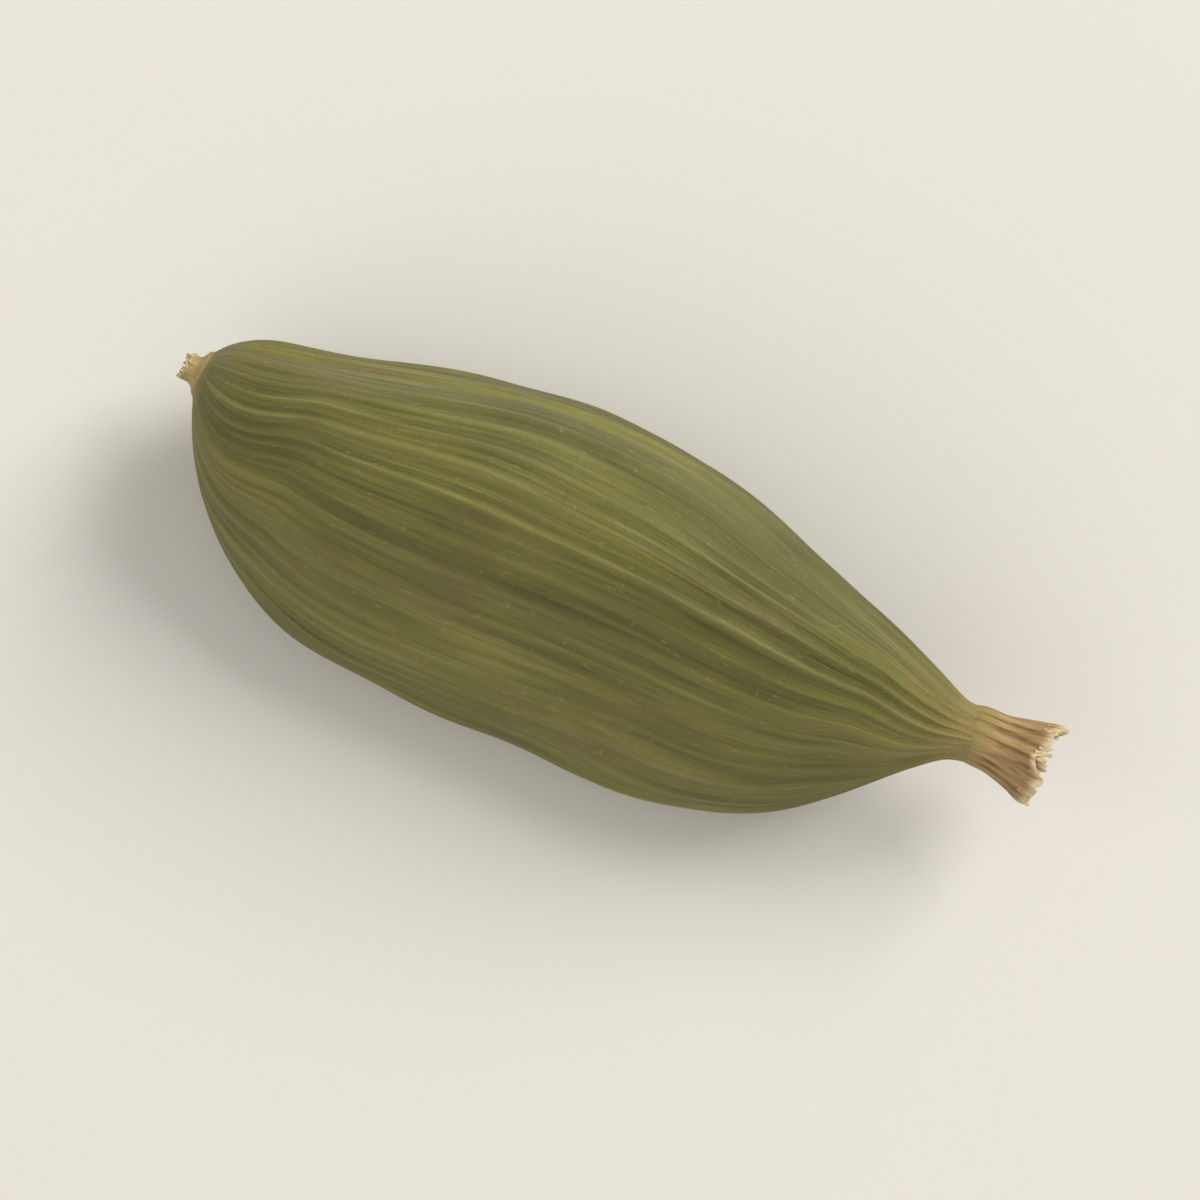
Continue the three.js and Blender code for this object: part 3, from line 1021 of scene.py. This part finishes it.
# %% Set a strip at each place
TILT_BY = 0.22  # radians
SMALLEST = (0.45, 0.7, 0.6)
LARGEST = (1.0, 1.2, 1.3)
tilt_seed = add(fray, MATH, (ask["Seed"], 11), operation="ADD")
tilt = add(
    fray,
    "FunctionNodeRandomValue",
    {"Min": (0, -TILT_BY, -TILT_BY), "Max": (0, TILT_BY, TILT_BY), "Seed": tilt_seed},
    data_type="FLOAT_VECTOR",
)
face_out = add(fray, "ShaderNodeCombineXYZ", (facing, 0, 0))
turned_out = add(fray, "ShaderNodeVectorMath", (face_out, tilt), operation="ADD")
size_seed = add(fray, MATH, (ask["Seed"], 23), operation="ADD")
own_size = add(
    fray,
    "FunctionNodeRandomValue",
    {"Min": SMALLEST, "Max": LARGEST, "Seed": size_seed},
    data_type="FLOAT_VECTOR",
)
tuft = add(
    fray,
    "GeometryNodeInstanceOnPoints",
    {"Points": places, "Instance": strip, "Rotation": turned_out, "Scale": own_size},
)
tuft = add(fray, "GeometryNodeRealizeInstances", {"Geometry": tuft})
print("a strip is", SMALLEST[0], "to", LARGEST[0], "of the full length")

# %% Finish the fibres' tree
CROWN_RUN = 0.6  # where along the run the plant material shows its torn crown
strip_place = add(
    fray,
    "ShaderNodeVectorMath",
    (add(fray, "GeometryNodeInputPosition"), (1 / MM, 1 / MM, 1 / MM)),
    operation="MULTIPLY",
)
for name, data_type, value in (("grain", "FLOAT_VECTOR", strip_place), ("run", "FLOAT", CROWN_RUN)):
    tuft = add(
        fray,
        "GeometryNodeStoreNamedAttribute",
        {"Geometry": tuft, "Name": name, "Value": value},
        data_type=data_type,
    )
tuft = add(fray, "GeometryNodeSetShadeSmooth", {"Geometry": tuft})
tuft = add(fray, "GeometryNodeSetMaterial", {"Geometry": tuft, "Material": ask["Material"]})
add(fray, "NodeGroupOutput", (tuft,))
print("the fibres' tree has", len(fray.nodes), "nodes")

# %% Grow both kinds of fibre
stalk_fibres = grown(
    "stalk_fibres",
    fray,
    {
        "Centre": BASE + Vector((-0.27 * MM, 0, 0)),
        "Count": 30,
        "Ring Radius": 0.2 * MM,
        "Length": -0.15 * MM,
        "Width": 0.035 * MM,
        "Thickness": 0.03 * MM,
        "Splay": 0.35,
        "Seed": 5,
        "Material": torn_stalk,
    },
)
calyx_shreds = grown(
    "calyx_shreds",
    fray,
    {
        "Centre": BEAK + Vector((1.14 * MM, 0, 0.17 * MM)),
        "Count": 34,
        "Ring Radius": 0.77 * MM,
        "Length": 0.22 * MM,
        "Width": 0.07 * MM,
        "Thickness": 0.02 * MM,
        "Splay": 0.3,
        "Seed": 8,
        "Material": papery_calyx,
    },
)

# %% [markdown]
# ## Tie the pieces to the solids
#
# Each main piece stands for the plain solid of the same thing, and the fibres come on top. Every
# piece moves with the pod's one body.

# %% Ride and replace
for piece, node, finish in (
    (green_husk, "seed_capsule", "green_husk"),
    (stub, "stalk_stub", "dry_stalk"),
    (calyx, "calyx_tube", "papery_calyx"),
):
    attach(piece, "root")
    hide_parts(node)
    print(piece.name, "stands for", node)
for piece, finish in ((stalk_fibres, "dry_stalk"), (calyx_shreds, "papery_calyx")):
    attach(piece, "root")
    print(piece.name, "is added to", finish)

# %% [markdown]
# ## Floor, light and camera
#
# The floor is plain and pale. A pod has low relief that runs along it, so the main light is a soft
# box at the upper right of the picture, which rakes across the veins. A broad, weaker box fills from
# the left, and the pale room does the rest. The camera looks straight down from far off with a long
# lens, and is turned so that the pod lies at the same slant as in the picture, its beak end 25
# degrees down.

# %% Floor
FLOOR_SIZE = 4  # metres
pale_floor = bpy.data.materials.new("pale_matt_board")
pale_floor.use_nodes = True
floor_shader = pale_floor.node_tree.nodes["Principled BSDF"]
floor_shader.inputs["Base Color"].default_value = colour("#e6e2da")
floor_shader.inputs["Roughness"].default_value = 0.9
bpy.ops.mesh.primitive_plane_add(size=FLOOR_SIZE)
floor = bpy.context.object
floor.name = "floor"
floor.data.materials.append(pale_floor)
print("the floor is", FLOOR_SIZE, "m wide")

# %% Light
SLANT = math.radians(25)
ROOM_LIGHT = 0.54
picture_right = Vector((math.cos(SLANT), math.sin(SLANT), 0))
picture_up = Vector((-math.sin(SLANT), math.cos(SLANT), 0))


def soft_box(name, right, up, height, size, power):
    """A square light that points at the pod. Its place is in metres, as the picture shows the pod."""
    lamp = bpy.data.lights.new(name, "AREA")
    lamp.size = size
    lamp.energy = power
    holder = bpy.data.objects.new(name, lamp)
    holder.location = picture_right * right + picture_up * up + Vector((0, 0, height))
    holder.rotation_euler = (-holder.location).to_track_quat("-Z", "Y").to_euler()
    bpy.context.scene.collection.objects.link(holder)
    print(name, "light:", power, "W from a box", size, "m wide")


soft_box("key", right=0.28, up=0.22, height=0.28, size=0.24, power=1.62)
soft_box("fill", right=-0.3, up=-0.12, height=0.26, size=0.5, power=0.6)
world = bpy.data.worlds.new("pale_room")
world.use_nodes = True
world.node_tree.nodes["Background"].inputs["Color"].default_value = colour("#e9e6e1")
world.node_tree.nodes["Background"].inputs["Strength"].default_value = ROOM_LIGHT
bpy.context.scene.world = world

# %% Camera
FRAME_WIDTH = 23.5 * MM
LENS = 180  # millimetres, as on a real camera
eye = bpy.data.cameras.new("camera")
eye.lens = LENS
eye.clip_start = 0.01
distance = FRAME_WIDTH * LENS / eye.sensor_width
camera = bpy.data.objects.new("camera", eye)
box_low, box_high = (Vector(corner) for corner in cad_box)
camera.location = (box_low + box_high) / 2 + Vector((0, 0, distance))
camera.rotation_euler = (0, 0, SLANT)
bpy.context.scene.collection.objects.link(camera)
bpy.context.scene.camera = camera
bpy.context.scene.view_settings.view_transform = "Standard"
print("the camera is", round(distance / MM), "mm above the pod")
